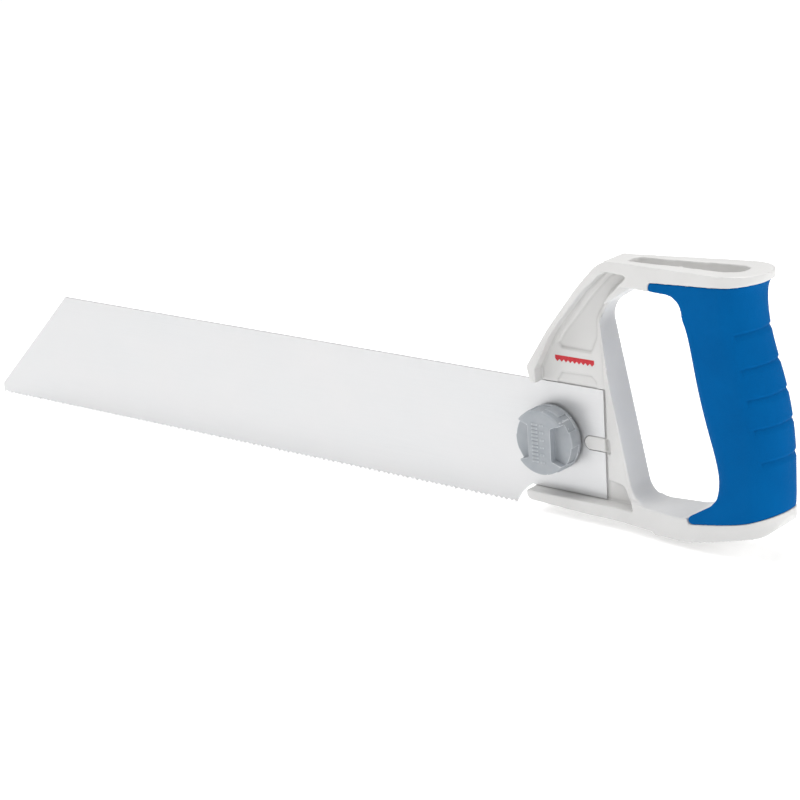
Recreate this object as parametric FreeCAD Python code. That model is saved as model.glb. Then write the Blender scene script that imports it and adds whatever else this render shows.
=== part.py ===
import FreeCAD, Part
import math
import os

# Hand saw for plastic pipe: a D-shaped cast handle with a rubber grip, and a straight
# blade that one knob clamps against a flat seat.
# Frame: +X runs from the blade's tip to the back of the handle, +Z is up, the teeth
# point down, and the knob is on the -Y side. The origin is where the clamp axis
# crosses the seat that the blade lies on. Sizes are in millimetres.

# ---- blade ----
TOOTHED_LENGTH = 304.8          # toothed edge
BLADE_THICKNESS = 0.9
BLADE_TOP = 22.0                # height of the back edge above the clamp axis
BLADE_WIDTH = 52.9              # back edge to tooth points
TIP_SLANT = 50.5                # how far the tip leans forward from back to teeth
TIP_CHAMFER = 4.6               # short upright edge at the tip
TOOTH_PITCH = 2.54
TOOTH_DEPTH = 0.9
TOOTH_GULLET = 0.42             # share of the pitch from a tooth's point to the next gullet
TANG_DROP = 21.75               # lower edge of the tang below the clamp axis
TANG_REAR = 23.6                # rear edge of the tang behind the clamp axis
HEEL_X = -20.1                  # last tooth
HEEL_ROOT_GAP = 0.9             # from the jaw's front to where the heel curve meets the tang
HEEL_SAG = 1.0                  # hollow of the heel curve
BLADE_SIDE_GAP = 0.4            # between the tang's long edges and the recess walls
BLADE_REAR_GAP = 1.6            # between the tang's rear edge and the recess wall

# ---- clamp ----
STUD_D = 8.0
STUD_FIT = 0.2                  # radial play of the blade on the stud
THREAD_FIT = 0.08               # radial play between stud and threaded insert
STUD_PROUD = 6.2                # stud length in front of the seat
STUD_CHAMFER = 0.8
HEAD_AF = 13.0                  # hexagon head of the stud, across flats
HEAD_HEIGHT = 4.0
HEAD_SINK = 0.4                 # stud head below the handle's far face
HEAD_POCKET_FIT = 0.1
LUG_HALF = 2.7                  # half height of the lug that stops the blade turning
LUG_CENTRE = 17.0               # centre of the lug's round end
LUG_PROUD = 1.4                 # lug height above the seat
LUG_GAP = 0.3
LUG_REAR = 24.0                 # rear end of the lug, short of the recess wall
LUG_POCKET_REAR = 27.0          # small well in the wall behind the lug
RING_D = 11.6                   # push-on ring that keeps the stud in the handle
RING_THICKNESS = 0.6
RING_SINK_GAP = 0.15
WASHER_D = 19.0
WASHER_THICKNESS = 1.0
WASHER_FIT = 0.3
KNOB_RADIUS = 13.3
KNOB_DISC = 6.05                # thickness of the knob's round body
KNOB_GRIP = 3.1                 # height of the bar in front of the body
KNOB_GRIP_RADIUS = 12.9
KNOB_FACE_GAP = 0.15            # between washer and knob body
KNOB_BAR_HALF = 5.3             # half width of the bar that fingers turn
KNOB_NOTCH_HALF = 6.6           # half length of a finger notch along the bar
KNOB_NOTCH_FLARE = 2.5          # how far a notch widens towards the rim
KNOB_RECESSES = 6               # shallow recesses round the rim
KNOB_RECESS_DEPTH = 0.5
KNOB_RECESS_ANGLE = 32.0
KNOB_RECESS_START = 40.0        # direction of the first recess
KNOB_FLANGE = 1.6               # plain ring behind the recesses
KNOB_RIM_ROUND = 0.5            # rounding of the body's front edge
KNOB_FACE_ROUND = 0.9           # rounding of the bar's front edge
KNOB_BORE_GAP = 0.4             # radial room for the stud's end inside the knob
KNOB_BORE_END = 1.0             # room in front of the insert
INSERT_D = 12.0
INSERT_LENGTH = 4.4
INSERT_FLANGE_D = 14.0
INSERT_FLANGE = 1.0

# ---- handle casting ----
FRAME_HALF = 6.6                # half thickness of strut, jaw and lower rail
LAND = 1.5                      # front face of the panel, in front of the seat
PANEL_SINK = 0.8                # depth of the shallow fields in the panel
CORNER_SINK = 1.3               # depth of the pocket above the lower rail
WEB = 3.2                       # wall between the seat and the hollow back
BACK_RIM = 4.2                  # raised edge around the hollow back
BACK_BOSS_R = 11.0              # boss around the head of the stud
RECESS_REAR = TANG_REAR + BLADE_REAR_GAP
RECESS_TOP = BLADE_TOP + BLADE_SIDE_GAP
RECESS_BOTTOM = -TANG_DROP - BLADE_SIDE_GAP
CREST = 5.9                     # height of the crest beside the hand opening, in front of the seat
SLOPE_STATIONS = ((RECESS_BOTTOM, RECESS_REAR - 0.4, 39.6), (-13.0, RECESS_REAR - 0.4, 37.4),
                  (RECESS_TOP, RECESS_REAR - 0.4, 30.4), (50.0, 23.6, 26.2), (60.0, 29.2, 29.8))

JAW_FRONT = -10.6
JAW_BOTTOM = -25.9
FOOT = (-8.1, 28.5)             # front foot of the strut
RAIL_BOTTOM = -27.8
RAIL_STEP_X = 49.6              # where the lower rail thickens into the base
RAIL_STEP = 1.1
RAIL_TOP = -19.3                # floor of the hand opening
ARM_BOTTOM = 65.6               # roof of the hand opening
SHOULDER_X = 30.0               # where the strut's slope meets the arm
ARM_TOP_FRONT = 74.5            # top of the arm above the strut
ARM_TOP_REAR = 76.4             # top of the arm at its rear end
HAND_HALF = 12.4                # half width of arm and base at the grip
ARM_REAR = 96.0
BASE_REAR = 103.6
WIDEN_FROM = 34.0               # where arm and rail start to widen
WIDEN_TO = 80.0
CAVITY_FRONT = 38.0
CAVITY_REAR = 87.0
CAVITY_HALF_FRONT = 3.7
CAVITY_HALF_REAR = 6.0
CAVITY_FLOOR = 69.4
CAVITY_LIP = 1.2                # small locating lip on the cavity's edge

# ---- grip ----
SLEEVE_SKIN = 2.2               # rubber thickness on the sides of arm and base
GRIP_CORE_HALF = 6.5
GRIP_CORE_SET = 4.0             # rubber thickness in front of and behind the core
TONGUE_FRONT = 50.2
TONGUE_TOP = 68.9
TONGUE_ROUND = 1.6
RIM_BEND = (84.0, 71.6)         # rubber's upper edge on the side of the arm
RIM_REAR = 2.9                  # thickness of the arm's rim at its rear end
BASE_BEND = (90.0, -16.0)       # rubber's lower edge on the side of the base
BASE_EDGE_REAR = -10.4
TOE_FRONT = 66.3
TOE_BOTTOM = -20.8


def vec(x, y, z):
    return FreeCAD.Vector(x, y, z)


def rounded_wire(corners, place):
    """Closed wire through corners (a, b, radius); place(a, b) gives the 3-D point."""
    count = len(corners)
    joints = []
    for i, (a, b, radius) in enumerate(corners):
        here = vec(a, b, 0)
        before = vec(*corners[i - 1][:2], 0) - here
        after = vec(*corners[(i + 1) % count][:2], 0) - here
        if radius <= 0:
            joints.append((here, None, here))
            continue
        before.normalize()
        after.normalize()
        half = before.getAngle(after) / 2
        reach = radius / math.tan(half)
        bisector = before + after
        bisector.normalize()
        middle = here + bisector * (radius / math.sin(half) - radius)
        joints.append((here + before * reach, middle, here + after * reach))
    edges = []
    for i, (start, middle, end) in enumerate(joints):
        if middle is not None:
            points = [place(p.x, p.y) for p in (start, middle, end)]
            edges.append(Part.Arc(*points).toShape())
        following = joints[(i + 1) % count][0]
        if end.distanceToPoint(following) > 1e-6:
            edges.append(Part.makeLine(place(end.x, end.y), place(following.x, following.y)))
    return Part.Wire(edges)


def side_prism(corners, y_near, y_far):
    """Prism of an outline drawn in X and Z, from y_near to y_far."""
    wire = rounded_wire(corners, lambda a, b: vec(a, y_near, b))
    return Part.Face(wire).extrude(vec(0, y_far - y_near, 0))


def plan_prism(corners, z_low, z_high):
    """Prism of an outline drawn in X and Y, from z_low to z_high."""
    wire = rounded_wire(corners, lambda a, b: vec(a, b, z_low))
    return Part.Face(wire).extrude(vec(0, 0, z_high - z_low))


def disc(radius, y_near, y_far, x=0.0, z=0.0):
    """Cylinder along Y between two depths."""
    return Part.makeCylinder(radius, y_far - y_near, vec(x, y_near, z), vec(0, 1, 0))


def hexagon(across_flats, y_near, y_far):
    """Hexagonal prism along Y."""
    radius = across_flats / math.sqrt(3)
    turns = [math.radians(60 * i) for i in range(6)]
    corners = [(radius * math.cos(t), radius * math.sin(t), 0) for t in turns]
    return side_prism(corners, y_near, y_far)


# ---------------------------------------------------------------- blade

def blade_points():
    """Outline from the top rear corner, round the tip and along the teeth to the heel."""
    tooth_line = BLADE_TOP - BLADE_WIDTH
    tip_x = HEEL_X - TOOTHED_LENGTH
    points = [(TANG_REAR, BLADE_TOP), (tip_x + TIP_SLANT, BLADE_TOP)]
    points.append((tip_x, tooth_line + TIP_CHAMFER))
    points.append((tip_x, tooth_line))
    teeth = round(TOOTHED_LENGTH / TOOTH_PITCH)
    pitch = TOOTHED_LENGTH / teeth
    for i in range(teeth):
        start = tip_x + i * pitch
        points.append((start + TOOTH_GULLET * pitch, tooth_line + TOOTH_DEPTH))
        points.append((start + pitch, tooth_line))
    return points


def make_blade():
    points = blade_points()
    heel = points[-1]
    root = (JAW_FRONT - HEEL_ROOT_GAP, -TANG_DROP)
    run = math.hypot(root[0] - heel[0], root[1] - heel[1])
    across = ((heel[1] - root[1]) / run, (root[0] - heel[0]) / run)
    sag = [(heel[i] + root[i]) / 2 + across[i] * HEEL_SAG for i in (0, 1)]
    places = [vec(x, -BLADE_THICKNESS, z) for x, z in points]
    edges = [Part.makeLine(a, b) for a, b in zip(places, places[1:])]
    arc = [vec(x, -BLADE_THICKNESS, z) for x, z in (heel, sag, root)]
    edges.append(Part.Arc(*arc).toShape())
    corner = vec(TANG_REAR, -BLADE_THICKNESS, -TANG_DROP)
    edges.append(Part.makeLine(arc[-1], corner))
    edges.append(Part.makeLine(corner, places[0]))
    sheet = Part.Face(Part.Wire(edges)).extrude(vec(0, BLADE_THICKNESS, 0))
    hole = disc(STUD_D / 2 + STUD_FIT, -2, 1)
    return sheet.cut(hole).cut(lug_shape(LUG_GAP, 2.0, TANG_REAR + 1))


def lug_shape(grow, proud, rear):
    """Round-ended bar in front of the seat, grown sideways by a gap."""
    half = LUG_HALF + grow
    bar = Part.makeBox(rear - LUG_CENTRE, proud + 1, 2 * half, vec(LUG_CENTRE, -proud, -half))
    return bar.fuse(disc(half, -proud, 1, x=LUG_CENTRE))


# ---------------------------------------------------------------- handle

def opening_corners(set_back=0.0):
    """Hand opening; set_back moves the grip's front face rearwards, into the grip."""
    return [(41.5, ARM_BOTTOM, 5), (24.3, 54.5, 9), (40.3, RAIL_TOP, 9), (64.0, RAIL_TOP, 10),
            (79.8 + set_back, -9.6, 6.5), (76.9 + set_back, 3, 30),
            (68.6 + set_back, 34, 80), (64.6 + set_back, ARM_BOTTOM, 7)]


def arm_top(x):
    """Height of the arm's sloping top."""
    return ARM_TOP_FRONT + (x - SHOULDER_X) * (ARM_TOP_REAR - ARM_TOP_FRONT) / (ARM_REAR - SHOULDER_X)


def strut_plate():
    """Jaw, seat wall, strut and the front of both rails, as one thick plate."""
    corners = [(JAW_FRONT, JAW_BOTTOM, 2.5), (14.0, RAIL_BOTTOM + 0.6, 60), (48.0, RAIL_BOTTOM, 0),
               (60.0, RAIL_BOTTOM, 0), (60.0, RAIL_TOP + 3, 0), (50.0, ARM_BOTTOM, 0),
               (50.0, arm_top(50.0), 0), (SHOULDER_X - 2.0, ARM_TOP_FRONT, 14), (16.8, 62.6, 40),
               (2.6, 44.6, 30), (*FOOT, 2), (-6.4, RECESS_TOP, 2), (JAW_FRONT, 14.0, 4)]
    return side_prism(corners, -FRAME_HALF, FRAME_HALF)


def hand_plan(rear, inset=0.0):
    """Plan outline of arm and base: strut width in front, widening to a round rear end."""
    narrow = FRAME_HALF - inset
    wide = HAND_HALF - inset
    end = rear - inset
    return [(WIDEN_FROM - 10, -narrow, 0), (WIDEN_FROM, -narrow, 40), (WIDEN_TO, -wide, 60),
            (end, -wide, wide * 0.92), (end, wide, wide * 0.92), (WIDEN_TO, wide, 60),
            (WIDEN_FROM, narrow, 40), (WIDEN_FROM - 10, narrow, 0)]


def rim_edge():
    """Upper edge of the rubber along the arm, from front to rear."""
    rear = ARM_REAR + 2
    return [(*RIM_BEND, 50), (rear, arm_top(rear) - RIM_REAR, 0)]


def base_edge():
    """Lower edge of the rubber along the base, from rear to front."""
    return [(BASE_REAR + 2, BASE_EDGE_REAR, 0), (*BASE_BEND, 60)]


def arm_top_corners():
    """Side outline of the rim that runs along the top of the arm."""
    front = WIDEN_FROM - 4
    rear = ARM_REAR + 2
    return [(front, ARM_BOTTOM, 0), (TONGUE_FRONT, ARM_BOTTOM, 0),
            (TONGUE_FRONT, TONGUE_TOP, TONGUE_ROUND), *rim_edge(),
            (rear, arm_top(rear), 0), (front, arm_top(front), 0)]


def base_corners():
    """Side outline of the base under the grip."""
    front = WIDEN_FROM - 4
    step = RAIL_BOTTOM - RAIL_STEP
    return [(front, RAIL_BOTTOM + 0.3, 0), (RAIL_STEP_X - 0.6, RAIL_BOTTOM, 0), (RAIL_STEP_X, step, 0.5),
            (66.0, RAIL_BOTTOM - 0.5, 50), (100.0, -19.4, 10), *base_edge(), (TOE_FRONT, TOE_BOTTOM, 0),
            (TOE_FRONT - 1, RAIL_TOP + 1, 0), (front, RAIL_TOP + 1, 0)]


def sleeve_corners():
    """Side outline of everything that rubber covers."""
    return [(TONGUE_FRONT, ARM_BOTTOM - 2, 0), (TONGUE_FRONT, TONGUE_TOP, TONGUE_ROUND), *rim_edge(),
            (112.0, 60.0, 0), (112.0, -7.0, 0), *base_edge(), (TOE_FRONT, TOE_BOTTOM, 1.4),
            (TOE_FRONT, -17.6, 2), (79.0, -8.6, 0), (60.0, 10.0, 0), (60.0, ARM_BOTTOM - 2, 0)]


def grip_core():
    """Post of the casting inside the rubber, from base to arm."""
    corners = [(50.0, ARM_BOTTOM, 0), (50.0, 72.0, 0), (90.0, 74.0, 0), (89.6, 60.0, 6),
               (97.0, 30.0, 30), (99.0, 8.0, 20), (99.0, -16.0, 0), (66.0, -24.0, 0), (60.0, RAIL_TOP, 0)]
    post = side_prism(corners, -GRIP_CORE_HALF, GRIP_CORE_HALF)
    return post.cut(side_prism(opening_corners(GRIP_CORE_SET), -40, 40))


def side_cores():
    """Arm and base where the rubber is only a skin on their sides."""
    inner = plan_prism(hand_plan(ARM_REAR, SLEEVE_SKIN), -40, 90)
    arm = [(48.0, ARM_BOTTOM, 0), (70.0, ARM_BOTTOM, 0), (74.0, 67.6, 0), (88.5, 67.6, 0), (90.0, 75.0, 0),
           (48.0, 73.0, 0)]
    toe = [(60.0, -24.0, 0), (60.0, -12.0, 0), (76.0, -8.0, 0), (76.0, -20.0, 0)]
    return [side_prism(arm, -20, 20).common(inner), side_prism(toe, -20, 20).common(inner)]


def cavity():
    """Boat-shaped hollow in the top of the arm."""
    corners = [(CAVITY_FRONT, -CAVITY_HALF_FRONT, 2.5), (60.0, -CAVITY_HALF_FRONT - 0.6, 30),
               (82.0, -CAVITY_HALF_REAR, 12), (CAVITY_REAR, -3.0, 3), (CAVITY_REAR, 3.0, 3),
               (82.0, CAVITY_HALF_REAR, 12), (60.0, CAVITY_HALF_FRONT + 0.6, 30),
               (CAVITY_FRONT, CAVITY_HALF_FRONT, 2.5)]
    hollow = plan_prism(corners, CAVITY_FLOOR, ARM_TOP_REAR + 5)
    lip = disc_up(CAVITY_LIP, 62.0, -CAVITY_HALF_FRONT - 1.0, CAVITY_FLOOR, ARM_TOP_REAR + 5)
    return hollow.cut(lip)


def disc_up(radius, x, y, z_low, z_high):
    """Upright cylinder."""
    return Part.makeCylinder(radius, z_high - z_low, vec(x, y, z_low))


def blade_recess():
    """Flat seat for the tang, open towards the blade."""
    front = 2 * JAW_FRONT
    return Part.makeBox(RECESS_REAR - front, FRAME_HALF + 1, RECESS_TOP - RECESS_BOTTOM,
                        vec(front, -FRAME_HALF - 1, RECESS_BOTTOM))


def panel_fields():
    """Panel behind the raised edge, its shallow fields and the pocket above the lower rail."""
    front = -FRAME_HALF - 1
    panel = [(-4.0, RECESS_TOP - 1, 0), (-4.0, 28.0, 1), (4.4, 43.4, 30), (18.9, 60.9, 40), (29.0, 70.2, 7),
             (40.2, 69.8, 0.4), (31.0, 61.0, 8), (24.4, 51.0, 8), (RECESS_REAR, RECESS_TOP - 1, 0)]
    upper = [(5.4, 36.6, 1), (19.4, 36.3, 1.6), (22.2, 42.5, 3), (22.6, 50.5, 6), (29.5, 62.0, 8),
             (38.5, 68.8, 0.4), (29.9, 68.8, 6), (20.6, 59.6, 30), (6.2, 42.2, 20), (3.8, 38.4, 0)]
    lower = [(2.6, RECESS_TOP - 1, 0), (2.6, 23.8, 0.6), (4.8, 26.9, 1.2), (19.0, 27.3, 1.6),
             (21.2, 24.8, 1), (21.2, RECESS_TOP - 1, 0)]
    wall = RECESS_REAR - 0.5
    corner = [(wall, -13.5, 0), (wall, RECESS_BOTTOM, 0), (39.0, RECESS_BOTTOM, 1.2), (34.6, -13.5, 2)]
    depths = [(panel, 0), (upper, PANEL_SINK), (lower, PANEL_SINK), (corner, CORNER_SINK)]
    return [side_prism(outline, front, sink - LAND) for outline, sink in depths]


def rear_slope():
    """Long bevel that lifts the panel to a crest beside the hand opening."""
    top = -FRAME_HALF - 1
    pieces = []
    for low, high in zip(SLOPE_STATIONS, SLOPE_STATIONS[1:]):
        wires = []
        for z, start, crest in (low, high):
            quad = [vec(start, -LAND, z), vec(start, top, z), vec(crest, top, z), vec(crest, -CREST, z)]
            wires.append(Part.makePolygon(quad + quad[:1]))
        pieces.append(Part.makeLoft(wires, True, True))
    return pieces[0].fuse(pieces[1:])


def back_hollows():
    """Hollow in the far side, leaving the web, an edge rim and the boss for the stud."""
    field = [(JAW_FRONT + BACK_RIM, -21.0, 2), (31.0, -22.0, 3), (34.0, -17.0, 3),
             (20.6, 50.0, 12), (26.0, 62.0, 8), (36.0, 68.6, 1.2), (30.0, 69.4, 5), (3.2, 36.0, 20),
             (JAW_FRONT + BACK_RIM, 12.0, 4)]
    hollow = side_prism(field, WEB, FRAME_HALF + 1)
    return hollow.cut(disc(BACK_BOSS_R, 0, FRAME_HALF + 2))


def stud_cuts():
    """Bore, head pocket and ring pocket on the clamp axis."""
    bore = disc(STUD_D / 2 + THREAD_FIT, -1, FRAME_HALF + 1)
    head = hexagon(HEAD_AF + 2 * HEAD_POCKET_FIT, FRAME_HALF - HEAD_HEIGHT - HEAD_SINK, FRAME_HALF + 1)
    ring = disc(RING_D / 2 + RING_SINK_GAP, -1, RING_THICKNESS + RING_SINK_GAP)
    return [bore, head, ring]


def make_handle():
    plate = strut_plate()
    plan_top = plan_prism(hand_plan(ARM_REAR), 40, 90)
    plan_base = plan_prism(hand_plan(BASE_REAR), -40, 20)
    arm = side_prism(arm_top_corners(), -20, 20).common(plan_top)
    base = side_prism(base_corners(), -20, 20).common(plan_base)
    body = plate.fuse([arm, base, grip_core()] + side_cores()).removeSplitter()
    outside = side_prism(opening_corners(), -40, 40)
    body = body.cut(outside).cut(cavity())
    body = body.cut([blade_recess(), rear_slope(), back_hollows()] + panel_fields() + stud_cuts())
    seat_side = Part.makeBox(2 * LUG_REAR, 2 * LUG_PROUD, 4 * LUG_HALF, vec(0, -LUG_PROUD, -2 * LUG_HALF))
    lug = lug_shape(0, LUG_PROUD, LUG_REAR).common(seat_side)
    body = body.cut(lug_pocket()).fuse(lug).removeSplitter()
    return biggest(body)


def lug_pocket():
    """Well in the rear land, behind the lug."""
    front = RECESS_REAR - 0.5
    high = LUG_HALF + LUG_GAP
    rear = LUG_POCKET_REAR
    return side_prism([(front, -high, 0), (rear, -high, 0.4), (rear, high, 0.4), (front, high, 0)], -FRAME_HALF, 0)


def biggest(shape):
    return max(shape.Solids, key=lambda s: s.Volume)


# ---------------------------------------------------------------- grip

def grip_section(z, front, rear, nose):
    """Rounded section of the grip at one height; nose is the radius of its front corners."""
    half = HAND_HALF
    tail = half * 0.94
    corners = [(front, -half, nose), (rear, -half, tail), (rear, half, tail), (front, half, nose)]
    return rounded_wire(corners, lambda a, b: vec(a, b, z))


def make_sleeve(handle):
    """Rubber moulded around the core: a rounded grip with a tongue and a toe."""
    sections = [(-22.0, 70.0, BASE_REAR, 4), (-9.0, 76.0, BASE_REAR, 7), (2.0, 76.6, 103.8, 9),
                (16.0, 72.9, 103.2, 9), (34.0, 68.4, 100.0, 9), (50.0, 66.2, 95.2, 7),
                (58.0, 64.8, 93.5, 4), (63.0, 62.0, 93.0, 1.6), (67.0, 58.0, 93.0, 1.2),
                (76.0, 54.0, 97.6, 1.2)]
    grip = Part.makeLoft([grip_section(*s) for s in sections], True, False)
    tongue = side_prism([(40, 60, 0), (40, 80, 0), (76, 80, 0), (70, 64, 0), (66, 63, 0)], -20, 20)
    toe = side_prism([(60, -30, 0), (60, -10, 0), (84, -10, 0), (84, -30, 0)], -20, 20)
    outer = plan_prism(hand_plan(BASE_REAR), -30, 80)
    region = side_prism(sleeve_corners(), -20, 20)
    skin = grip.common(outer).fuse([tongue.common(outer), toe.common(outer)]).common(region)
    skin = skin.cut(side_prism(opening_corners(), -40, 40)).cut(handle).cut(cavity())
    return biggest(skin)


# ---------------------------------------------------------------- clamp

def make_stud():
    under_head = FRAME_HALF - HEAD_HEIGHT - HEAD_SINK
    shank = disc(STUD_D / 2, -STUD_PROUD, under_head + 0.5)
    tip = [e for e in shank.Edges if abs(e.CenterOfMass.y + STUD_PROUD) < 0.01]
    shank = shank.makeChamfer(STUD_CHAMFER, tip)
    head = hexagon(HEAD_AF, under_head, under_head + HEAD_HEIGHT)
    return shank.fuse(head).removeSplitter()


def make_ring():
    ring = disc(RING_D / 2, RING_SINK_GAP, RING_SINK_GAP + RING_THICKNESS)
    return ring.cut(disc(STUD_D / 2, -1, 2))


def washer_near():
    return -BLADE_THICKNESS - WASHER_THICKNESS


def make_washer():
    ring = disc(WASHER_D / 2, washer_near(), -BLADE_THICKNESS)
    return ring.cut(disc(STUD_D / 2 + WASHER_FIT, -5, 1))


def insert_shape(grow):
    """Outside of the threaded insert, grown for its seat in the knob."""
    back = washer_near() - KNOB_FACE_GAP
    body = disc(INSERT_D / 2 + grow, back - INSERT_LENGTH - grow, back)
    return body.fuse(disc(INSERT_FLANGE_D / 2 + grow, back - INSERT_FLANGE - grow, back))


def make_insert():
    return insert_shape(0).cut(disc(STUD_D / 2 + THREAD_FIT, -20, 1))


def make_knob():
    back = washer_near() - KNOB_FACE_GAP
    shelf = back - KNOB_DISC
    face = shelf - KNOB_GRIP
    body = eased(disc(KNOB_RADIUS, shelf, back), shelf, KNOB_RIM_ROUND)
    ring = disc(KNOB_RADIUS + 1, shelf - 1, back - KNOB_FLANGE)
    ring = ring.cut(disc(KNOB_RADIUS - KNOB_RECESS_DEPTH, shelf - 2, back + 1))
    for i in range(KNOB_RECESSES):
        middle = KNOB_RECESS_START + 360 * i / KNOB_RECESSES
        body = body.cut(ring.common(wedge(middle, KNOB_RECESS_ANGLE, ring.BoundBox)))
    grip = eased(disc(KNOB_GRIP_RADIUS, face, shelf + 1), face, KNOB_FACE_ROUND)
    for side in (-1, 1):
        grip = grip.cut(finger_notch(side, face, shelf))
    bore = disc(STUD_D / 2 + KNOB_BORE_GAP, back - INSERT_LENGTH - KNOB_BORE_END, back + 1)
    return biggest(body.fuse(grip).removeSplitter().cut(insert_shape(0)).cut(bore))


def eased(shape, y, radius):
    """Shape with its round edge at depth y rounded over."""
    edges = [e for e in shape.Edges if abs(e.CenterOfMass.y - y) < 0.01]
    return shape.makeFillet(radius, edges)


def wedge(middle, width, box):
    """Wedge around the clamp axis, for cutting a sector out of a ring."""
    reach = 2 * KNOB_RADIUS
    turns = [math.radians(middle + width * part) for part in (-0.5, 0.5)]
    corners = [(0, 0, 0)] + [(reach * math.cos(t), reach * math.sin(t), 0) for t in turns]
    return side_prism(corners, box.YMin - 1, box.YMax + 1)


def finger_notch(side, face, shelf):
    """Notch beside the bar, open at the rim and wider there."""
    rim = KNOB_RADIUS + 1
    flare = KNOB_NOTCH_FLARE / (KNOB_GRIP_RADIUS - KNOB_BAR_HALF)
    wide = KNOB_NOTCH_HALF + flare * (rim - KNOB_BAR_HALF)
    corners = [(side * KNOB_BAR_HALF, -KNOB_NOTCH_HALF, 1.0), (side * rim, -wide, 0),
               (side * rim, wide, 0), (side * KNOB_BAR_HALF, KNOB_NOTCH_HALF, 1.0)]
    return side_prism(corners, face - 1, shelf)


def main():
    handle = make_handle()
    nodes = {
        "handle_frame": handle,
        "grip_sleeve": make_sleeve(handle),
        "blade": make_blade(),
        "clamp_stud": make_stud(),
        "stud_ring": make_ring(),
        "clamp_washer": make_washer(),
        "knob_insert": make_insert(),
        "clamp_knob": make_knob(),
    }
    os.makedirs("parts", exist_ok=True)
    for name, shape in nodes.items():
        shape.exportStep("parts/" + name + ".step")


main()
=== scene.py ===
import math

import bmesh
import bpy
import numpy as np
from mathutils import Matrix, Vector, geometry


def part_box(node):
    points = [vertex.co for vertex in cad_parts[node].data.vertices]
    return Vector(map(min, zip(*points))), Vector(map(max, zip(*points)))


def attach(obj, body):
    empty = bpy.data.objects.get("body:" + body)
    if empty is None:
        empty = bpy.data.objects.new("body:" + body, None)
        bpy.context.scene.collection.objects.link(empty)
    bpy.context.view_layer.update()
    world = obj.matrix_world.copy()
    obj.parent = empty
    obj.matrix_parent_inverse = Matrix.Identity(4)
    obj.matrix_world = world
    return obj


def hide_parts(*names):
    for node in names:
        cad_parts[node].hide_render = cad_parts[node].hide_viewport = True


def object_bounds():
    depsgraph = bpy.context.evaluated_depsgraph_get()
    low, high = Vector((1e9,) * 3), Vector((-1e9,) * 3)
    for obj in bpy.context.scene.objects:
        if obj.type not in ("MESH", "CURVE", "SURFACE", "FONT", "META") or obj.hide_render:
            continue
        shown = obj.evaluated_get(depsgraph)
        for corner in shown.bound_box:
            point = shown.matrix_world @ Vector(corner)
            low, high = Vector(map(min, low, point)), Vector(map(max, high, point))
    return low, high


# Looks of the plastic-pipe saw. Metres, in the CAD's own frame: +X from the tip to the
# back of the handle, +Z up, the knob on the -Y side, the origin on the blade seat.

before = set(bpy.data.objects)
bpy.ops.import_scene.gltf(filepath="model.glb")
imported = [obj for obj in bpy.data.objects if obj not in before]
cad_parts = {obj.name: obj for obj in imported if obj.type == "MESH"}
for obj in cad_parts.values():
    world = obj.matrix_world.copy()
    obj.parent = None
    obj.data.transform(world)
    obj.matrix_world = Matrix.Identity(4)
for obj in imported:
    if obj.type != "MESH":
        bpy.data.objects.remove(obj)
CAD_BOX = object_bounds()
MM = 0.001

# ---- camera: a long lens, from the knob side, behind and above ----
CAMERA_PLACE = (0.496, -0.6739, 0.284)
CAMERA_TURN = math.radians(40.42)       # heading, from +Y towards -X
CAMERA_TILT = math.radians(17.65)       # looking down
CAMERA_ROLL = math.radians(-3.79)
CAMERA_LENS = 102.465                   # millimetres on a 36 mm sensor

# ---- blade, as in the CAD ----
BLADE_LOW, BLADE_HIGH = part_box("blade")
TOOTH_COUNT = 120
TOOTHED_LENGTH = 304.8 * MM
TOOTH_DEPTH = 0.9 * MM
TOOTH_SET = 0.16 * MM                   # how far each tooth leans to its side
TOOTH_STRIP = 2.0 * MM                  # height of the band that the teeth lean from
TOOTH_GULLET = 0.42                     # share of the pitch from a point to the next gullet
TOOTH_LAND = 0.06                       # flat of a point, as a share of the pitch
GULLET_LAND = 0.12                      # flat of a gullet, as a share of the pitch
BLADE_TIP_SLANT = 50.5 * MM
BLADE_TIP_CHAMFER = 4.6 * MM
BLADE_THICKNESS = BLADE_HIGH.y - BLADE_LOW.y
TANG_LOW = -21.75 * MM
HEEL_ROOT_X = -11.5 * MM
HEEL_SAG = 1.0 * MM
STUD_HOLE_RADIUS = 4.2 * MM
LUG_CENTRE_X = 17.0 * MM
LUG_SLOT_HALF = 3.0 * MM                # lug and its gap

# ---- handle ----
CASTING_VOXEL = 0.4 * MM
PANEL_FACE = -1.5 * MM                  # the casting's panel, in front of the seat
INK_PROUD = 0.06 * MM                   # print in front of the panel
INK_SUNK = 0.1 * MM                     # print's closed back, inside the panel
MARK_LEFT, MARK_RIGHT = 2.4 * MM, 20.4 * MM
MARK_LOW, MARK_HIGH = 30.9 * MM, 33.4 * MM
MARK_TEETH = 9
MARK_TOOTH_DEPTH = 1.0 * MM

# ---- grip ----
GRIP_VOXEL = 0.42 * MM
GRIP_LEAN = 0.215                       # how far the grip leans forward per unit of height
GRIP_FOOT_Z = 6.0 * MM                  # height at which the two places below hold
GRIP_AXIS_X = 95.0 * MM                 # centre of the grip's round rear
GROOVE_START_X = 97.3 * MM              # front ends of the finger grooves
GROOVE_LEDGES = (53.2, 40.4, 29.0, 17.7, 5.0)   # lower edges, in millimetres above the clamp axis
GROOVE_HEIGHT = 3.0 * MM
GROOVE_DEPTH = 0.6 * MM
GROOVE_HOOK = 1.6 * MM                  # drop of a groove's front end
GROOVE_FLOOR = 0.74                     # share of the height where a groove is deepest
GROOVE_LEAN = 0.2                       # rise of a groove towards the rear
GROOVE_PIVOT_X = 92.0 * MM

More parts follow.
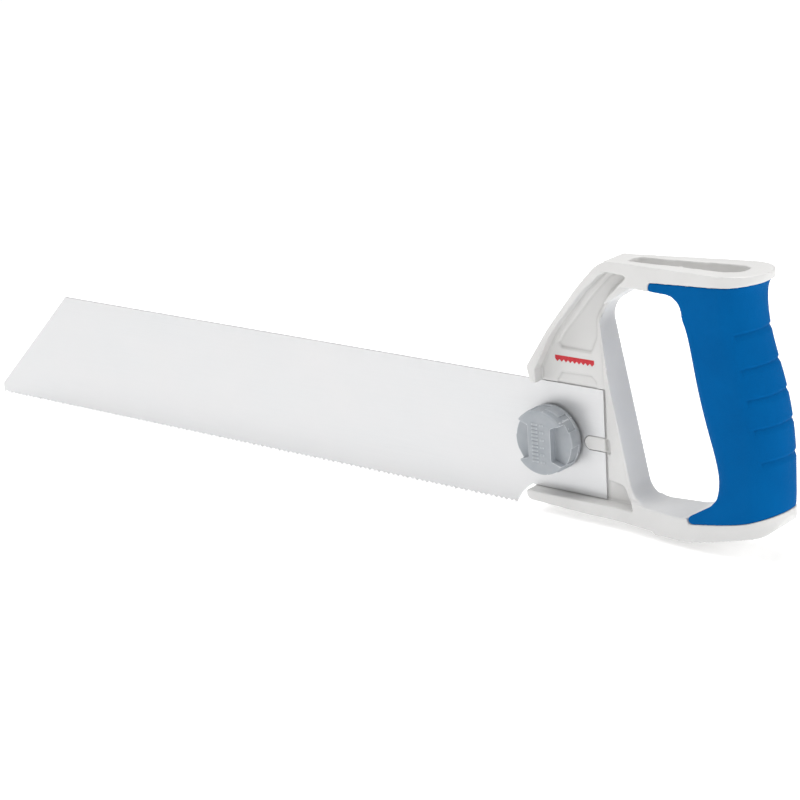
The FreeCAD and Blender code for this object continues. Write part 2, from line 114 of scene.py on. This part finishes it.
# ---- clamp ----
STUD_SIDES = 48                         # facets round the stud and its head
STUD_RADIUS = 4.0 * MM
THREAD_PITCH = 1.25 * MM
THREAD_DEPTH = 0.55 * MM
THREAD_END = -0.4 * MM                  # depth where the thread gives way to plain shank
STUD_CHAMFER = 0.8 * MM
HEAD_ACROSS = 13.0 * MM
HEAD_HEIGHT = 4.0 * MM
KNOB_VOXEL = 0.18 * MM
RIB_COUNT = 11
RIB_PITCH = 1.5 * MM
RIB_LOW = -7.6 * MM                     # centre of the lowest rib
RIB_HALF = 0.32 * MM                    # half height of a rib
RIB_PROUD = 0.32 * MM
RIB_ROOT = 0.5 * MM                     # how far a rib reaches into the bar
RIBS_LONG = (-3.2 * MM, -0.5 * MM)      # left and right ends of the long ribs
RIBS_SHORT = (0.7 * MM, 2.4 * MM)       # and of the short ones beside every other long rib


# ---- stage ----
FLOOR_HALF = 6.0
FLOOR_GAP = 0.5 * MM                    # between the floor and the tooth points


# ---------------------------------------------------------------- helpers

def link(name, mesh):
    obj = bpy.data.objects.new(name, mesh)
    bpy.context.scene.collection.objects.link(obj)
    return obj


def finish_piece(obj, body, slot_name, material, *nodes):
    """Material, body and the CAD nodes that a piece stands for; slot_name is not used."""
    obj.data.materials.clear()
    obj.data.materials.append(material)
    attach(obj, body)
    if nodes:
        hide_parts(*nodes)
    return obj


def copy_node(node, name):
    """A new object with a copy of a CAD node's mesh, its split vertices joined."""
    work = bmesh.new()
    work.from_mesh(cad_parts[node].data)
    bmesh.ops.remove_doubles(work, verts=work.verts, dist=0.002 * MM)
    mesh = bpy.data.meshes.new(name)
    work.to_mesh(mesh)
    work.free()
    return link(name, mesh)


def apply_modifiers(obj):
    bpy.context.view_layer.update()
    done = obj.evaluated_get(bpy.context.evaluated_depsgraph_get())
    mesh = bpy.data.meshes.new_from_object(done)
    obj.modifiers.clear()
    obj.data = mesh


def soften(obj, voxel, rounds, keep=1.0):
    """Even small faces, with every edge of the shape rounded over."""
    remesh = obj.modifiers.new("voxels", "REMESH")
    remesh.mode = "VOXEL"
    remesh.voxel_size = voxel
    smooth = obj.modifiers.new("smooth", "SMOOTH")
    smooth.factor = 0.5
    smooth.iterations = rounds
    apply_modifiers(obj)
    if keep < 1:
        fewer = obj.modifiers.new("fewer", "DECIMATE")
        fewer.ratio = keep
        apply_modifiers(obj)
    obj.data.shade_smooth()


def vertex_arrays(obj):
    count = len(obj.data.vertices)
    places = np.zeros(count * 3, np.float32)
    normals = np.zeros(count * 3, np.float32)
    obj.data.vertices.foreach_get("co", places)
    obj.data.vertices.foreach_get("normal", normals)
    return places.reshape(-1, 3).astype(float), normals.reshape(-1, 3).astype(float)


def set_places(obj, places):
    obj.data.vertices.foreach_set("co", places.astype(np.float32).ravel())
    obj.data.update()


def ramp(value, low, high):
    """0 below low, 1 above high, smooth between."""
    t = np.clip((value - low) / (high - low), 0, 1)
    return t * t * (3 - 2 * t)


def add_box(work, low, high):
    """Closed box between two corners, into a bmesh."""
    made = bmesh.ops.create_cube(work, size=1.0)
    size = Vector(high) - Vector(low)
    middle = (Vector(high) + Vector(low)) / 2
    for vert in made["verts"]:
        vert.co = Vector([c * s for c, s in zip(vert.co, size)]) + middle


# ---------------------------------------------------------------- materials

class Surface:
    """A node material whose colour, roughness and bump vary over the surface."""

    def __init__(self, name, **sockets):
        self.material = bpy.data.materials.new(name)
        self.material.use_nodes = True
        self.tree = self.material.node_tree
        self.shader = self.tree.nodes["Principled BSDF"]
        for key, value in sockets.items():
            self.shader.inputs[key.replace("_", " ")].default_value = value
        self.where = self.add("ShaderNodeTexCoord").outputs["Object"]

    def add(self, kind, **options):
        node = self.tree.nodes.new(kind)
        for key, value in options.items():
            setattr(node, key, value)
        return node

    def link(self, source, target):
        self.tree.links.new(source, target)

    def noise(self, scale, detail=3.0, roughness=0.5, stretch=(1, 1, 1)):
        """Noise value; scale is in features per metre."""
        mapping = self.add("ShaderNodeMapping")
        mapping.inputs["Scale"].default_value = stretch
        self.link(self.where, mapping.inputs["Vector"])
        node = self.add("ShaderNodeTexNoise")
        node.inputs["Scale"].default_value = scale
        node.inputs["Detail"].default_value = detail
        node.inputs["Roughness"].default_value = roughness
        self.link(mapping.outputs["Vector"], node.inputs["Vector"])
        return node.outputs["Fac"]

    def cells(self, scale):
        node = self.add("ShaderNodeTexVoronoi")
        node.inputs["Scale"].default_value = scale
        self.link(self.where, node.inputs["Vector"])
        return node.outputs["Distance"]

    def spread(self, value, low, high, from_low=0.3, from_high=0.7):
        """A value moved from its usual range to low..high."""
        node = self.add("ShaderNodeMapRange")
        node.inputs["From Min"].default_value = from_low
        node.inputs["From Max"].default_value = from_high
        node.inputs["To Min"].default_value = low
        node.inputs["To Max"].default_value = high
        self.link(value, node.inputs["Value"])
        return node.outputs["Result"]

    def mix(self, value, first, second):
        """Two colours mixed by a value."""
        node = self.add("ShaderNodeMix", data_type="RGBA")
        for socket, colour in ((node.inputs["A"], first), (node.inputs["B"], second)):
            if hasattr(colour, "is_output"):
                self.link(colour, socket)
            else:
                socket.default_value = (*colour, 1)
        self.link(value, node.inputs["Factor"])
        return node.outputs["Result"]

    def edges(self, low, high):
        """0 in hollows, 1 on outer edges: a mask for painted shade in hollows and painted highlights on
        edges.
        """
        point = self.add("ShaderNodeNewGeometry").outputs["Pointiness"]
        return self.spread(point, 0.0, 1.0, low, high)

    def bump(self, *layers):
        """Bump layers as (value, height in metres)."""
        before = None
        for value, height in layers:
            node = self.add("ShaderNodeBump")
            node.inputs["Strength"].default_value = 1.0
            node.inputs["Distance"].default_value = height
            self.link(value, node.inputs["Height"])
            if before is not None:
                self.link(before, node.inputs["Normal"])
            before = node.outputs["Normal"]
        self.link(before, self.shader.inputs["Normal"])

    def colour(self, source):
        self.link(source, self.shader.inputs["Base Color"])

    def roughness(self, source):
        self.link(source, self.shader.inputs["Roughness"])


def casting_paint():
    """Pale grey powder coat over a die casting."""
    s = Surface("casting_paint", Specular_IOR_Level=0.45, Coat_Weight=0.12, Coat_Roughness=0.3)
    broad = s.noise(38, 4)
    fine = s.noise(2600, 3, 0.6)
    base = s.mix(s.spread(broad, 0, 1), (0.635, 0.63, 0.62), (0.685, 0.68, 0.67))
    # painted shade: the paint turns a darker grey in hollows and creases, where shade falls
    painted_hollow_shade = s.mix(s.edges(0.44, 0.50), (0.44, 0.435, 0.425), base)
    s.colour(painted_hollow_shade)
    s.roughness(s.spread(s.noise(420, 3), 0.42, 0.58))
    s.bump((fine, 0.020 * MM), (s.noise(300, 2), 0.045 * MM))
    return s.material


def grip_rubber():
    """Blue moulded rubber with a fine leather-like grain."""
    s = Surface("grip_rubber", Specular_IOR_Level=0.02)
    broad = s.noise(60, 4)
    grain = s.cells(2300)
    base = s.mix(s.spread(broad, 0, 1), (0.0003, 0.086, 0.280), (0.0005, 0.102, 0.322))
    # painted shade: the rubber turns a darker blue in hollows and finger grooves, where shade falls
    painted_hollow_shade = s.mix(s.edges(0.40, 0.50), (0.0003, 0.045, 0.16), base)
    s.colour(s.mix(s.spread(grain, 0.0, 0.35, 0.1, 0.6), painted_hollow_shade, (0.0007, 0.113, 0.345)))
    s.roughness(s.spread(s.noise(900, 3), 0.55, 0.72))
    s.bump((grain, 0.030 * MM), (s.noise(700, 3), 0.05 * MM))
    return s.material


def blade_finish():
    """Satin steel, ground lengthwise."""
    s = Surface("blade_finish", Metallic=0.6, Specular_IOR_Level=0.4, Anisotropic=0.35)
    lines = s.noise(1.0, 6, 0.7, (28, 900, 5200))
    broad = s.noise(22, 4, 0.55, (1, 1, 2))
    ground = s.mix(s.spread(lines, 0, 1), (0.605, 0.612, 0.62), (0.65, 0.655, 0.66))
    s.colour(s.mix(s.spread(broad, 0, 0.6), ground, (0.65, 0.643, 0.645)))
    s.roughness(s.spread(lines, 0.30, 0.46))
    s.bump((lines, 0.006 * MM))
    return s.material


def plated_steel(name, colour, darker, roughness):
    """Zinc-plated or machined metal with turning marks."""
    s = Surface(name, Metallic=1.0)
    turned = s.noise(1.0, 4, 0.6, (900, 4200, 900))
    s.colour(s.mix(s.spread(s.noise(260, 4), 0, 1), darker, colour))
    s.roughness(s.spread(turned, roughness - 0.07, roughness + 0.1))
    s.bump((turned, 0.008 * MM))
    return s.material


def knob_plastic():
    """Grey moulded nylon, slightly mottled."""
    s = Surface("knob_plastic", Specular_IOR_Level=0.42)
    broad = s.noise(180, 4)
    base = s.mix(s.spread(broad, 0, 1), (0.315, 0.34, 0.366), (0.368, 0.388, 0.41))
    # painted shade: the knob turns a darker grey in hollows, where shade falls
    knob_painted_hollow_shade = s.mix(s.edges(0.42, 0.49), (0.15, 0.165, 0.185), base)
    # painted highlight: pale grey along the knob's sharp outer edges, as edge highlights
    s.colour(s.mix(s.edges(0.512, 0.55), knob_painted_hollow_shade, (0.60, 0.62, 0.64)))
    s.roughness(s.spread(s.noise(1500, 3), 0.36, 0.52))
    s.bump((s.noise(3200, 3), 0.018 * MM), (s.noise(500, 2), 0.03 * MM))
    return s.material


def mark_ink():
    """Red pad-printed ink, a little uneven."""
    s = Surface("mark_ink", Specular_IOR_Level=0.4)
    s.colour(s.mix(s.spread(s.noise(900, 3), 0, 1), (0.50, 0.010, 0.022), (0.62, 0.022, 0.032)))
    s.roughness(s.spread(s.noise(2000, 2), 0.4, 0.55))
    s.bump((s.noise(2600, 2), 0.01 * MM))
    return s.material


def floor_paint():
    s = Surface("floor_paint", Specular_IOR_Level=0.1, Emission_Color=(1, 1, 1, 1), Emission_Strength=0.30)
    s.colour(s.mix(s.noise(3, 2), (0.955, 0.955, 0.955), (0.965, 0.965, 0.965)))
    s.roughness(s.spread(s.noise(40, 2), 0.85, 0.95))
    return s.material


CASTING = casting_paint()
RUBBER = grip_rubber()
BLADE_STEEL = blade_finish()
ZINC = plated_steel("zinc_plate", (0.66, 0.67, 0.69), (0.50, 0.51, 0.53), 0.32)
BRASS = plated_steel("insert_brass", (0.78, 0.58, 0.27), (0.62, 0.44, 0.19), 0.28)
KNOB_PLASTIC = knob_plastic()
INK = mark_ink()


# ---------------------------------------------------------------- handle

def make_handle():
    casting = copy_node("handle_frame", "handle_casting")
    soften(casting, CASTING_VOXEL, 4, 0.4)
    return finish_piece(casting, "frame", "frame_white", CASTING, "handle_frame")


def groove_depth(places):
    """Depth of the finger grooves at each place on the rear of the grip."""
    x, z = places[:, 0], places[:, 2]
    inside = x - GROOVE_START_X + GRIP_LEAN * (z - GRIP_FOOT_Z)
    height = z - GROOVE_LEAN * (x - GROOVE_PIVOT_X)
    depth = np.zeros(len(x))
    for ledge in GROOVE_LEDGES:
        hook = GROOVE_HOOK * (1 - ramp(inside, 0.6 * MM, 2.8 * MM))
        t = (height - ledge * MM + hook) / (GROOVE_HEIGHT + hook)
        rise = np.clip(t / GROOVE_FLOOR, 0, 1)
        fall = 1 - ramp(t, GROOVE_FLOOR + 0.02, 1.0)
        depth = np.maximum(depth, GROOVE_DEPTH * np.where(t > 0, rise, 0) * fall)
    return depth * ramp(inside, 0.0, 1.5 * MM)


def make_grip():
    grip = copy_node("grip_sleeve", "grip_rubber")
    soften(grip, GRIP_VOXEL, 6)
    places, normals = vertex_arrays(grip)
    x, y, z = places.T
    axis_x = GRIP_AXIS_X - GRIP_LEAN * (z - GRIP_FOOT_Z)
    away = np.stack([x - axis_x, y], 1)
    away /= np.linalg.norm(away, axis=1)[:, None] + 1e-9
    outer = ramp((away * normals[:, :2]).sum(1), 0.2, 0.6)
    places -= normals * (groove_depth(places) * outer)[:, None]
    set_places(grip, places)
    smooth = grip.modifiers.new("smooth", "SMOOTH")
    smooth.factor = 0.4
    smooth.iterations = 1
    apply_modifiers(grip)
    grip.data.shade_smooth()
    return finish_piece(grip, "frame", "grip_blue", RUBBER, "grip_sleeve")


def make_panel_mark():
    """Plain row of saw teeth printed on the panel."""
    pitch = (MARK_RIGHT - MARK_LEFT) / MARK_TEETH
    root = MARK_LOW + MARK_TOOTH_DEPTH
    outline = [(MARK_LEFT, MARK_HIGH)]
    for i in range(MARK_TEETH):
        outline.append((MARK_LEFT + i * pitch, root))
        outline.append((MARK_LEFT + (i + 0.5) * pitch, MARK_LOW))
    outline += [(MARK_RIGHT, root), (MARK_RIGHT, MARK_HIGH)]
    depths = (PANEL_FACE - INK_PROUD, PANEL_FACE + INK_SUNK)
    work = bmesh.new()
    rows = [[work.verts.new((a, y, b)) for a, b in outline] for y in depths]
    work.faces.new(rows[0])
    work.faces.new(rows[1][::-1])
    count = len(outline)
    for i in range(count):
        j = (i + 1) % count
        work.faces.new((rows[0][j], rows[0][i], rows[1][i], rows[1][j]))
    bmesh.ops.recalc_face_normals(work, faces=work.faces)
    mesh = bpy.data.meshes.new("panel_mark")
    work.to_mesh(mesh)
    work.free()
    return finish_piece(link("panel_mark", mesh), "frame", None, INK)


# ---------------------------------------------------------------- blade

def arc(centre, radius, start, end, count):
    """Points of a circular arc in X and Z."""
    turns = [start + (end - start) * i / count for i in range(count + 1)]
    return [(centre[0] + radius * math.cos(t), centre[1] + radius * math.sin(t)) for t in turns]


def heel_curve(start, end, sag, count):
    """Points between two places on a shallow curve."""
    run = Vector((end[0] - start[0], end[1] - start[1]))
    side = Vector((-run.y, run.x)).normalized()
    points = []
    for i in range(1, count):
        t = i / count
        points.append(tuple(Vector(start) + run * t + side * sag * 4 * t * (1 - t)))
    return points


def blade_outline(tip, heel, top, rear):
    """Outline of the blade, from its back along tip, teeth, heel, tang and slot."""
    tooth_line = heel[1]
    pitch = TOOTHED_LENGTH / TOOTH_COUNT
    outline = [(tip + BLADE_TIP_SLANT, top), (tip, tooth_line + BLADE_TIP_CHAMFER), (tip, tooth_line)]
    for i in range(TOOTH_COUNT):
        start = tip + i * pitch
        gullet = start + TOOTH_GULLET * pitch
        outline.append((start + TOOTH_LAND * pitch, tooth_line))
        outline.append((gullet, tooth_line + TOOTH_DEPTH))
        outline.append((gullet + GULLET_LAND * pitch, tooth_line + TOOTH_DEPTH))
    outline.append(heel)
    outline += heel_curve(heel, (HEEL_ROOT_X, TANG_LOW), HEEL_SAG, 8)
    outline += [(HEEL_ROOT_X, TANG_LOW), (rear, TANG_LOW), (rear, -LUG_SLOT_HALF)]
    outline += arc((LUG_CENTRE_X, 0.0), LUG_SLOT_HALF, -math.pi / 2, -3 * math.pi / 2, 16)
    return outline + [(rear, LUG_SLOT_HALF), (rear, top)]


def flat_sheet(name, outline, hole, strip, y):
    """Mesh of one flat face inside an outline, with a hole and an edge along a strip."""
    edges = [(i, (i + 1) % len(outline)) for i in range(len(outline))]
    edges += [(len(outline) + i, len(outline) + (i + 1) % len(hole)) for i in range(len(hole))]
    points = outline + hole + strip
    edges.append((len(points) - 2, len(points) - 1))
    flat, _, faces, *_ = geometry.delaunay_2d_cdt([Vector(p) for p in points], edges, [], 5, 1e-7)
    mesh = bpy.data.meshes.new(name)
    mesh.from_pydata([(p.x, y, p.y) for p in flat], [], faces)
    return mesh


def make_blade():
    """Blade with a hole, a slot and teeth that lean to either side by turns."""
    tip = BLADE_LOW.x
    tooth_line = BLADE_LOW.z
    pitch = TOOTHED_LENGTH / TOOTH_COUNT
    heel = (tip + TOOTHED_LENGTH, tooth_line)
    outline = blade_outline(tip, heel, BLADE_HIGH.z, BLADE_HIGH.x)
    hole = arc((0.0, 0.0), STUD_HOLE_RADIUS, 0, 2 * math.pi, 40)[:-1]
    strip = [(tip, tooth_line + TOOTH_STRIP), (heel[0] + 0.5 * MM, tooth_line + TOOTH_STRIP)]
    mesh = flat_sheet("saw_blade", outline, hole, strip, BLADE_LOW.y)
    work = bmesh.new()
    work.from_mesh(mesh)
    bmesh.ops.dissolve_limit(work, angle_limit=0.001, verts=work.verts, edges=work.edges, delimit=set())
    made = bmesh.ops.extrude_face_region(work, geom=work.faces[:])
    for item in made["geom"]:
        if isinstance(item, bmesh.types.BMVert):
            item.co.y += BLADE_THICKNESS
    bmesh.ops.recalc_face_normals(work, faces=work.faces)
    for vert in work.verts:
        if vert.co.z < tooth_line + 0.3 * TOOTH_DEPTH and vert.co.x < heel[0] - 0.2 * pitch:
            index = int((vert.co.x - tip) / pitch + 0.3)
            vert.co.y += TOOTH_SET * (1 if index % 2 else -1)
    work.to_mesh(mesh)
    work.free()
    blade = link("saw_blade", mesh)
    return finish_piece(blade, "blade", "blade_steel", BLADE_STEEL, "blade")


# ---------------------------------------------------------------- clamp

def add_turned(work, depths, radius_at):
    """Closed solid round the clamp axis; radius_at(y, share of a turn) gives its surface."""
    rings = []
    for y in depths:
        ring = []
        for s in range(STUD_SIDES):
            turn = 2 * math.pi * s / STUD_SIDES
            radius = radius_at(y, s / STUD_SIDES)
            ring.append(work.verts.new((radius * math.cos(turn), y, radius * math.sin(turn))))
        rings.append(ring)
    for a, b in zip(rings, rings[1:]):
        for s in range(STUD_SIDES):
            t = (s + 1) % STUD_SIDES
            work.faces.new((a[s], b[s], b[t], a[t]))
    work.faces.new(rings[0])
    work.faces.new(rings[-1][::-1])


def make_stud():
    """Stud with a rolled thread and a chamfered hexagon head."""
    low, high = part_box("clamp_stud")
    head_front = high.y - HEAD_HEIGHT
    rows = int((head_front - low.y) / (THREAD_PITCH / 12))
    shank_end = head_front + 0.3 * MM
    head_levels = {head_front: 0.955, head_front + 0.35 * MM: 1.0, high.y - 0.6 * MM: 1.0, high.y: 0.90}

    def shank_radius(y, share):
        phase = ((y - low.y) / THREAD_PITCH - share) % 1.0
        groove = 0 if y > THREAD_END else THREAD_DEPTH * (1 - abs(2 * phase - 1))
        lead = min(1.0, (y - low.y) / STUD_CHAMFER)
        return min(STUD_RADIUS - groove, STUD_RADIUS - STUD_CHAMFER * (1 - lead))

    def head_radius(y, share):
        sector = (2 * math.pi * share + math.pi / 6) % (math.pi / 3) - math.pi / 6
        flat = (HEAD_ACROSS / 2) / math.cos(abs(abs(sector) - math.pi / 6))
        return min(flat, head_levels[y] * HEAD_ACROSS / math.sqrt(3))

    work = bmesh.new()
    add_turned(work, [low.y + (shank_end - low.y) * r / rows for r in range(rows + 1)], shank_radius)
    add_turned(work, list(head_levels), head_radius)
    bmesh.ops.recalc_face_normals(work, faces=work.faces)
    mesh = bpy.data.meshes.new("threaded_stud")
    work.to_mesh(mesh)
    work.free()
    return finish_piece(link("threaded_stud", mesh), "frame", "zinc_steel", ZINC, "clamp_stud")


def make_knob():
    """Knob with two plain rows of ribs on its bar."""
    knob = copy_node("clamp_knob", "clamp_knob_grip")
    low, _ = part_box("clamp_knob")
    work = bmesh.new()
    work.from_mesh(knob.data)
    for i in range(RIB_COUNT):
        z = RIB_LOW + i * RIB_PITCH
        for left, right in (RIBS_LONG, RIBS_SHORT)[:1 + (i + 1) % 2]:
            add_box(work, (left, low.y - RIB_PROUD, z - RIB_HALF), (right, low.y + RIB_ROOT, z + RIB_HALF))
    work.to_mesh(knob.data)
    work.free()
    soften(knob, KNOB_VOXEL, 4)
    return finish_piece(knob, "knob", "knob_grey", KNOB_PLASTIC, "clamp_knob")


def paint_nodes():
    """Materials for the CAD nodes whose shape is already right."""
    chosen = {"stud_ring": ZINC, "clamp_washer": ZINC, "knob_insert": BRASS}
    for node, material in chosen.items():
        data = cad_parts[node].data
        data.materials.clear()
        data.materials.append(material)


# ---------------------------------------------------------------- stage

def make_floor():
    work = bmesh.new()
    bmesh.ops.create_grid(work, x_segments=1, y_segments=1, size=FLOOR_HALF)
    mesh = bpy.data.meshes.new("floor")
    work.to_mesh(mesh)
    work.free()
    mesh.materials.append(floor_paint())
    floor = link("floor", mesh)
    floor.location = (0, 0, CAD_BOX[0].z - FLOOR_GAP)


def make_light(name, place, target, size, power):
    data = bpy.data.lights.new(name, "AREA")
    data.shape = "SQUARE"
    data.size = size
    data.energy = power
    light = bpy.data.objects.new(name, data)
    bpy.context.scene.collection.objects.link(light)
    light.location = place
    light.rotation_euler = (Vector(target) - Vector(place)).to_track_quat("-Z", "Y").to_euler()


def make_camera():
    sin, cos = math.sin, math.cos
    level = cos(CAMERA_TILT)
    ahead = Vector((-sin(CAMERA_TURN) * level, cos(CAMERA_TURN) * level, -sin(CAMERA_TILT)))
    right = Vector((cos(CAMERA_TURN), sin(CAMERA_TURN), 0))
    up = right.cross(ahead)
    rolled_right = right * cos(CAMERA_ROLL) + up * sin(CAMERA_ROLL)
    rolled_up = up * cos(CAMERA_ROLL) - right * sin(CAMERA_ROLL)
    data = bpy.data.cameras.new("camera")
    data.lens = CAMERA_LENS
    data.sensor_width = 36
    data.clip_start = 0.05
    data.clip_end = 40
    camera = bpy.data.objects.new("camera", data)
    bpy.context.scene.collection.objects.link(camera)
    turn = Matrix((rolled_right, rolled_up, -ahead)).transposed().to_4x4()
    camera.matrix_world = Matrix.Translation(CAMERA_PLACE) @ turn
    bpy.context.scene.camera = camera


def make_world():
    world = bpy.data.worlds.new("studio")
    world.use_nodes = True
    background = world.node_tree.nodes["Background"]
    background.inputs["Color"].default_value = (1, 1, 1, 1)
    background.inputs["Strength"].default_value = 0.42
    bpy.context.scene.world = world
    bpy.context.scene.view_settings.view_transform = "Standard"


make_camera()
make_world()
make_light("key", (-1.0, -0.9, 1.5), (0, 0, 0), 1.0, 13)
make_light("side", (1.6, -0.1, 0.7), (0.05, 0, 0), 0.9, 9)
make_light("top", (-0.1, 0.3, 1.9), (-0.1, 0, 0), 1.6, 24)
make_floor()

make_handle()
make_grip()
make_panel_mark()
make_blade()
make_stud()
make_knob()
paint_nodes()
